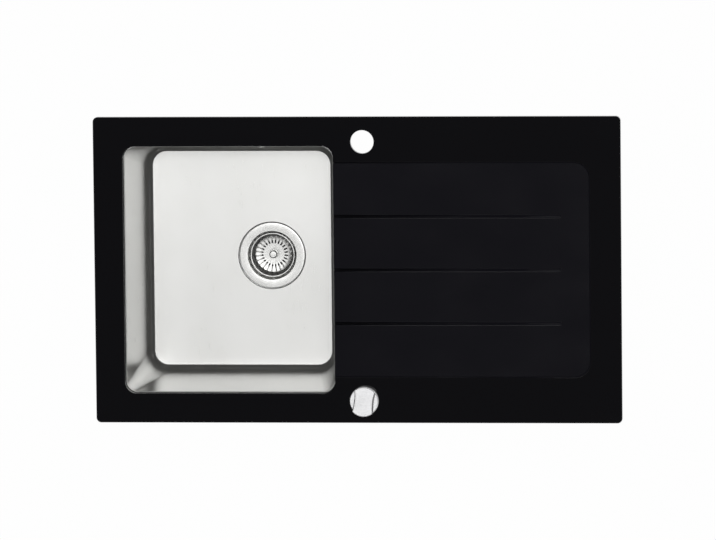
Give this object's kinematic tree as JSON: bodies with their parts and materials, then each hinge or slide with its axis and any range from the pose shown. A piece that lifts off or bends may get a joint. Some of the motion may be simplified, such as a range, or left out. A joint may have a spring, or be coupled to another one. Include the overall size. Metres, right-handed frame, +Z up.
{
  "type": "inset glass kitchen sink",
  "caption": "Black glass inset kitchen sink with a steel bowl on the left, a recessed grooved drainer, a tap hole and a knob that lifts the basket strainer.",
  "frame": {"origin": "middle of the glass in plan, at the height of the worktop's surface on which the edge seal rests", "axes": "+X to the drainer end, +Y to the tap hole at the back, +Z up out of the bowl"},
  "size_m": [0.86, 0.5, 0.3302],
  "materials": {
    "black_glass": "gloss, tempered and printed black underneath",
    "bowl_steel": "fine satin brushed",
    "strainer_steel": "polished satin",
    "chrome": "bright plated",
    "zinc_steel": "zinc plated",
    "brass": "turned",
    "rubber": "moulded",
    "foam": "closed-cell foam strip",
    "bond": "cured adhesive",
    "bitumen": "self-adhesive damping sheet",
    "plastic": "moulded",
    "acetal": "moulded",
    "hose": "flexible corrugated",
    "sheath": "extruded"
  },
  "bodies": {
    "root": {"glass_top": "black_glass", "rim_seal": "foam", "bowl": "bowl_steel", "bowl_bond": "bond", "sound_pad": "bitumen", "clamp_studs": "zinc_steel", "clamp_nuts": "zinc_steel", "flange_gasket": "rubber", "waste_flange": "strainer_steel", "waste_screw": "strainer_steel", "body_gasket": "rubber", "waste_body": "plastic", "shaft_seal": "rubber", "cable_sheath": "sheath", "cable_ferrules": "zinc_steel", "ferrule_clips": "zinc_steel", "overflow_cover": "strainer_steel", "overflow_screw": "strainer_steel", "overflow_gasket": "rubber", "overflow_elbow": "plastic", "overflow_hose": "hose", "hose_clips": "zinc_steel", "control_housing": "plastic", "control_gasket": "rubber", "control_cover": "plastic", "control_screws": "zinc_steel", "rosette_washer": "rubber", "rosette": "chrome"},
    "knob": {"knob": "chrome", "spindle": "brass", "pinion": "acetal", "spindle_clip": "zinc_steel"},
    "rack": {"rack": "acetal", "rack_wire": "zinc_steel"},
    "fork": {"cable_fork": "plastic", "fork_wire": "zinc_steel"},
    "crank": {"crank_shaft": "brass", "crank_lever": "plastic"},
    "lift_pin": {"lift_pin": "brass"},
    "basket": {"basket": "strainer_steel", "basket_button": "strainer_steel", "basket_stem": "plastic", "basket_seal": "rubber"},
    "clamp_leg_back_left": {"clamp_leg_back_left": "zinc_steel"},
    "clamp_leg_back_middle": {"clamp_leg_back_middle": "zinc_steel"},
    "clamp_leg_back_right": {"clamp_leg_back_right": "zinc_steel"},
    "clamp_leg_front_left": {"clamp_leg_front_left": "zinc_steel"},
    "clamp_leg_front_middle": {"clamp_leg_front_middle": "zinc_steel"},
    "clamp_leg_front_right": {"clamp_leg_front_right": "zinc_steel"},
    "clamp_leg_left": {"clamp_leg_left": "zinc_steel"},
    "clamp_leg_right": {"clamp_leg_right": "zinc_steel"}
  },
  "joints": [
    {"name": "knob_turn", "type": "hinge", "parent": "root", "child": "knob", "pos_m": [0.01, -0.214, 0], "axis": [0, 0, -1], "range_deg": [0, 90]},
    {"name": "rack_slide", "type": "slide", "parent": "root", "child": "rack", "axis": [0, -1, 0], "range_m": [0, 0.0101]},
    {"name": "fork_slide", "type": "slide", "parent": "root", "child": "fork", "axis": [1, 0, 0], "range_m": [0, 0.0101]},
    {"name": "crank_turn", "type": "hinge", "parent": "root", "child": "crank", "pos_m": [-0.17231, 0.004, -0.2555], "axis": [0, -1, 0], "range_deg": [0, 38.95]},
    {"name": "pin_lift", "type": "slide", "parent": "root", "child": "lift_pin", "axis": [0, 0, 1], "range_m": [0, 0.00801]},
    {"name": "basket_lift", "type": "slide", "parent": "lift_pin", "child": "basket", "axis": [0, 0, 1], "range_m": [0, 0.27]},
    {"name": "clamp_swing_back_left", "type": "hinge", "parent": "root", "child": "clamp_leg_back_left", "pos_m": [-0.3268, 0.228, -0.043], "axis": [0, 0, 1], "range_deg": [0, 90]},
    {"name": "clamp_swing_back_middle", "type": "hinge", "parent": "root", "child": "clamp_leg_back_middle", "pos_m": [-0.1032, 0.228, -0.043], "axis": [0, 0, 1], "range_deg": [0, 90]},
    {"name": "clamp_swing_back_right", "type": "hinge", "parent": "root", "child": "clamp_leg_back_right", "pos_m": [0.2838, 0.228, -0.043], "axis": [0, 0, 1], "range_deg": [0, 90]},
    {"name": "clamp_swing_front_left", "type": "hinge", "parent": "root", "child": "clamp_leg_front_left", "pos_m": [-0.3268, -0.228, -0.043], "axis": [0, 0, 1], "range_deg": [0, 90]},
    {"name": "clamp_swing_front_middle", "type": "hinge", "parent": "root", "child": "clamp_leg_front_middle", "pos_m": [-0.1032, -0.228, -0.043], "axis": [0, 0, 1], "range_deg": [0, 90]},
    {"name": "clamp_swing_front_right", "type": "hinge", "parent": "root", "child": "clamp_leg_front_right", "pos_m": [0.2838, -0.228, -0.043], "axis": [0, 0, 1], "range_deg": [0, 90]},
    {"name": "clamp_swing_left", "type": "hinge", "parent": "root", "child": "clamp_leg_left", "pos_m": [-0.408, 0, -0.043], "axis": [0, 0, 1], "range_deg": [0, 90]},
    {"name": "clamp_swing_right", "type": "hinge", "parent": "root", "child": "clamp_leg_right", "pos_m": [0.408, 0, -0.043], "axis": [0, 0, 1], "range_deg": [0, 90]}
  ],
  "couplings": [
    {"joint": "rack_slide", "follows": "knob_turn", "m_per_rad": 0.0064},
    {"joint": "fork_slide", "follows": "knob_turn", "m_per_rad": 0.0064},
    {"joint": "crank_turn", "follows": "knob_turn", "ratio": 0.43269},
    {"joint": "pin_lift", "follows": "knob_turn", "m_per_rad": 0.005093}
  ]
}
